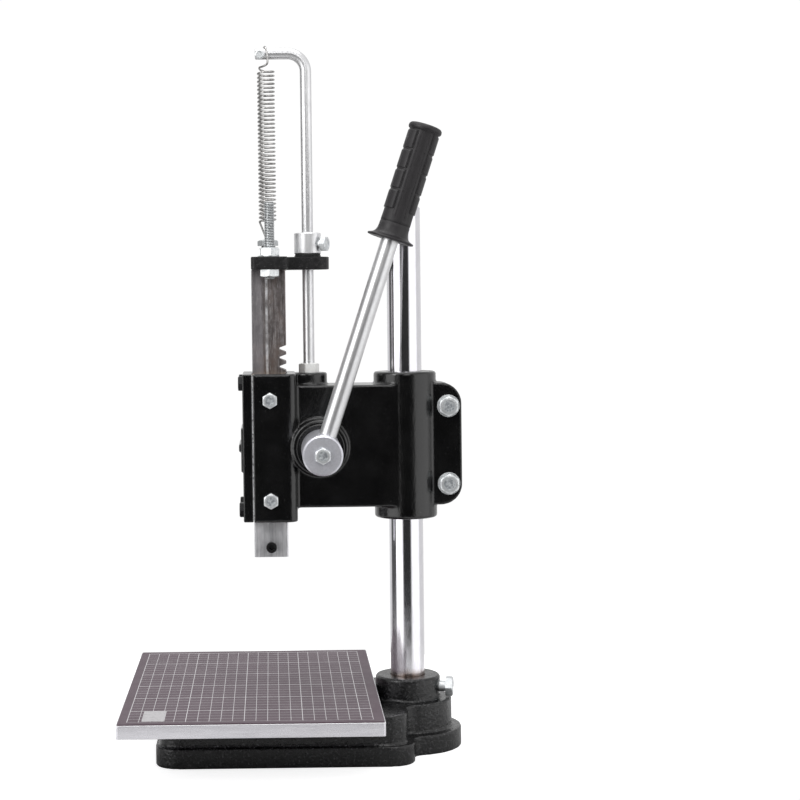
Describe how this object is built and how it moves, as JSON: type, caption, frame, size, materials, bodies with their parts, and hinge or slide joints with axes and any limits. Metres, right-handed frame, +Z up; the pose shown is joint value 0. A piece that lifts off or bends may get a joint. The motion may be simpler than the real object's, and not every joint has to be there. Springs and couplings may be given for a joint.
{
  "type": "hand press",
  "caption": "Bench lever press for punching and setting rivets: heavy base with a cutting mat, round column, rack-driven square ram, lever with rubber grip and return spring.",
  "frame": {"origin": "on the resting plane, directly under the axis of the ram, on the underside of the base's middle ribs", "axes": "+Z up along the column, -Y to the front where the operator stands, +X to the side of the lever"},
  "size_m": [0.315, 0.3166, 0.6625],
  "materials": {
    "cast_textured": "satin textured black paint on cast iron",
    "plate_steel": "ground",
    "mat_surface": "matte with a printed grid",
    "label_white": "matte",
    "zinc": "zinc plated",
    "chrome_bar": "polished",
    "enamel": "gloss black enamel",
    "black_oxide": "black oxide",
    "ram_steel": "oiled, streaked",
    "hub_steel": "turned",
    "gear_steel": "machined",
    "gib_brass": "satin",
    "grip_rubber": "satin moulded",
    "buffer_rubber": "matte",
    "spring_steel": "bright wire"
  },
  "bodies": {
    "base": {"base_casting": "cast_textured", "work_plate": "plate_steel", "cutting_mat": "mat_surface", "blank_label": "label_white", "plate_screws": "zinc", "column_set_screw": "zinc"},
    "column": {"column": "chrome_bar"},
    "head": {"head_casting": "enamel", "front_cover": "enamel", "cover_bolts": "black_oxide", "ram_gib": "gib_brass", "gib_bolts": "zinc", "clamp_bolts": "zinc", "clamp_washers": "zinc", "clamp_nuts": "zinc", "guide_rod": "chrome_bar", "rod_lock_nut": "zinc", "spring_keeper_screw": "zinc", "pinion_bush_near": "enamel", "pinion_bush_far": "enamel", "return_spring": "spring_steel"},
    "handle": {"pinion_gear": "gear_steel", "pinion_shaft": "gear_steel", "pinion_key": "gear_steel", "handle_hub": "hub_steel", "hub_pin": "gear_steel", "lever_lock_bolt": "zinc", "handle_rod": "chrome_bar", "handle_grip": "grip_rubber", "shaft_end_washer": "zinc", "shaft_end_bolt": "zinc"},
    "ram": {"ram": "ram_steel", "punch_set_screw": "black_oxide", "top_bracket": "enamel", "spring_anchor_bolt": "zinc", "anchor_nut": "zinc", "anchor_washer": "zinc", "rubber_buffer": "buffer_rubber", "buffer_washer": "black_oxide", "stop_nuts": "zinc", "stop_washer": "zinc"},
    "depth_stop": {"depth_stop_stud": "zinc"},
    "return_stop": {"stop_collar": "hub_steel", "collar_set_screw": "zinc"}
  },
  "joints": [
    {"name": "column_swing", "type": "hinge", "parent": "base", "child": "column", "pos_m": [0, 0.128, 0.055], "axis": [0, 0, 1], "range_deg": [-180, 180]},
    {"name": "head_height", "type": "slide", "parent": "column", "child": "head", "axis": [0, 0, 1], "range_m": [-0.04, 0.15]},
    {"name": "handle_turn", "type": "hinge", "parent": "head", "child": "handle", "pos_m": [0, 0.04625, 0.285], "axis": [1, 0, 0], "range_deg": [0, 138]},
    {"name": "ram_slide", "type": "slide", "parent": "head", "child": "ram", "axis": [0, 0, -1], "range_m": [0, 0.0796], "stiffness_N_per_m": 400, "springref_m": -0.15, "deforming": ["return_spring"]},
    {"name": "depth_stop_screw", "type": "slide", "parent": "ram", "child": "depth_stop", "axis": [0, 0, 1], "range_m": [-0.008, 0.008]},
    {"name": "return_stop_slide", "type": "slide", "parent": "head", "child": "return_stop", "axis": [0, 0, 1], "range_m": [0, 0.14]}
  ],
  "couplings": [
    {"joint": "ram_slide", "follows": "handle_turn", "m_per_rad": 0.033}
  ]
}
